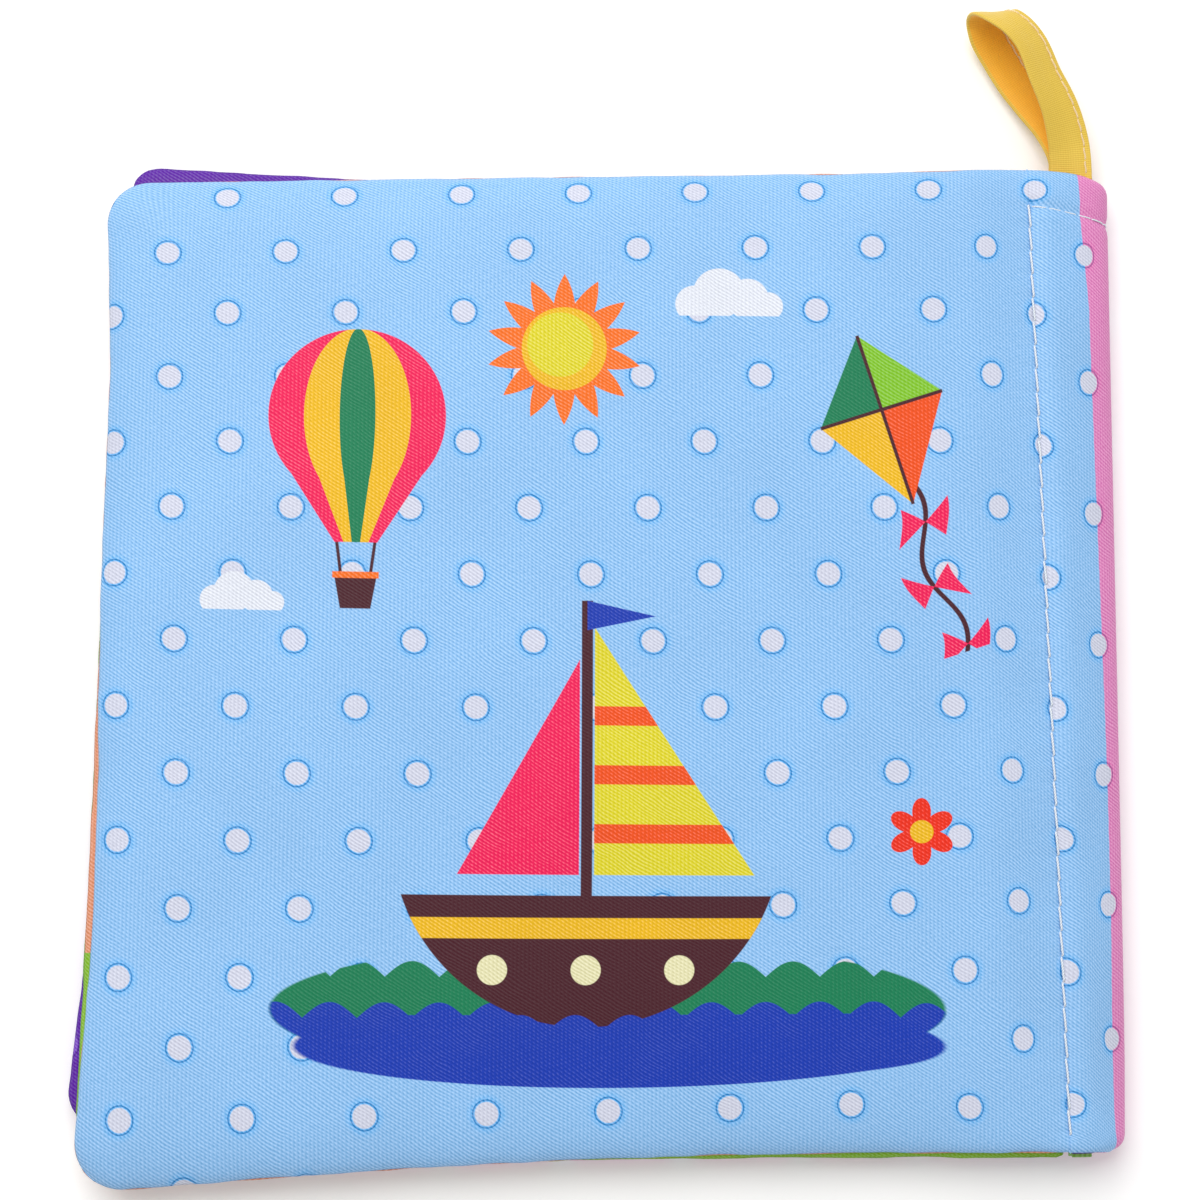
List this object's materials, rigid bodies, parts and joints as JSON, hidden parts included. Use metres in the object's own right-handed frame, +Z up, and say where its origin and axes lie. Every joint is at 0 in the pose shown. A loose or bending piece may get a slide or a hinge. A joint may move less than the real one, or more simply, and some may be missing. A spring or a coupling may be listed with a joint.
{
  "type": "crinkle cloth book",
  "caption": "Square cloth book for a baby: padded printed leaves with crinkle film inside, bound by a stitched spine with a tape loop at its head.",
  "frame": {"origin": "point on the flat underside of the front cover, at the resting face, near the middle of the closed book", "axes": "+Z up through the closed book from the front cover to the back cover, +Y to the head of the pages, +X to the spine"},
  "size_m": [0.1776, 0.2008, 0.0109],
  "materials": {
    "blue_printed_cloth": "printed polyester satin twill",
    "pink_printed_cloth": "printed polyester satin twill",
    "rose_printed_cloth": "printed polyester satin twill",
    "purple_printed_cloth": "printed polyester satin twill",
    "peach_printed_cloth": "printed polyester satin twill",
    "green_printed_cloth": "printed polyester satin twill",
    "polyester_wadding": "soft needled wadding",
    "crinkle_film": "thin crinkled film",
    "white_thread": "spun polyester thread",
    "cream_thread": "spun polyester thread",
    "yellow_tape": "woven satin tape"
  },
  "bodies": {
    "spine": {"front_cover_upper_cloth": "rose_printed_cloth", "front_cover_lower_cloth": "pink_printed_cloth", "front_cover_wadding": "polyester_wadding", "front_cover_crinkle_film": "crinkle_film", "front_cover_edge_thread": "white_thread", "spine_outer_cloth": "blue_printed_cloth", "spine_outer_wadding": "polyester_wadding", "spine_lining_cloth": "rose_printed_cloth", "inner_fold_cloth": "purple_printed_cloth", "inner_fold_wadding": "polyester_wadding", "centre_fold_cloth": "green_printed_cloth", "hanging_loop_tail": "yellow_tape", "spine_seam_upper_thread": "white_thread", "spine_seam_bobbin_thread": "white_thread", "spine_bar_seam_thread": "white_thread"},
    "front_leaf": {"front_leaf_upper_cloth": "purple_printed_cloth", "front_leaf_lower_cloth": "purple_printed_cloth", "front_leaf_wadding": "polyester_wadding", "front_leaf_crinkle_film": "crinkle_film", "front_leaf_edge_thread": "white_thread"},
    "back_leaf": {"back_leaf_upper_cloth": "peach_printed_cloth", "back_leaf_lower_cloth": "green_printed_cloth", "back_leaf_wadding": "polyester_wadding", "back_leaf_crinkle_film": "crinkle_film", "back_leaf_edge_thread": "white_thread"},
    "back_cover": {"back_cover_upper_cloth": "blue_printed_cloth", "back_cover_lower_cloth": "peach_printed_cloth", "back_cover_wadding": "polyester_wadding", "back_cover_crinkle_film": "crinkle_film", "back_cover_edge_thread": "white_thread"},
    "hanging_loop": {"hanging_loop_tape": "yellow_tape", "hanging_loop_outer_thread": "cream_thread", "hanging_loop_inner_thread": "cream_thread"}
  },
  "joints": [
    {"name": "front_leaf_turn", "type": "hinge", "parent": "spine", "child": "front_leaf", "pos_m": [0.0752, 0, 0.0099], "axis": [-0.0192, 0.9998, 0], "range_deg": [0, 179.96]},
    {"name": "back_leaf_turn", "type": "hinge", "parent": "front_leaf", "child": "back_leaf", "pos_m": [0.0752, 0, 0.0099], "axis": [-0.0192, 0.9998, 0], "range_deg": [0, 179.96]},
    {"name": "back_cover_turn", "type": "hinge", "parent": "back_leaf", "child": "back_cover", "pos_m": [0.0752, 0, 0.0099], "axis": [-0.0192, 0.9998, 0], "range_deg": [0, 179.96]},
    {"name": "hanging_loop_flap", "type": "hinge", "parent": "spine", "child": "hanging_loop", "pos_m": [0.0806, 0.0881, 0.00507], "axis": [1, 0, 0], "range_deg": [0, 60]}
  ]
}
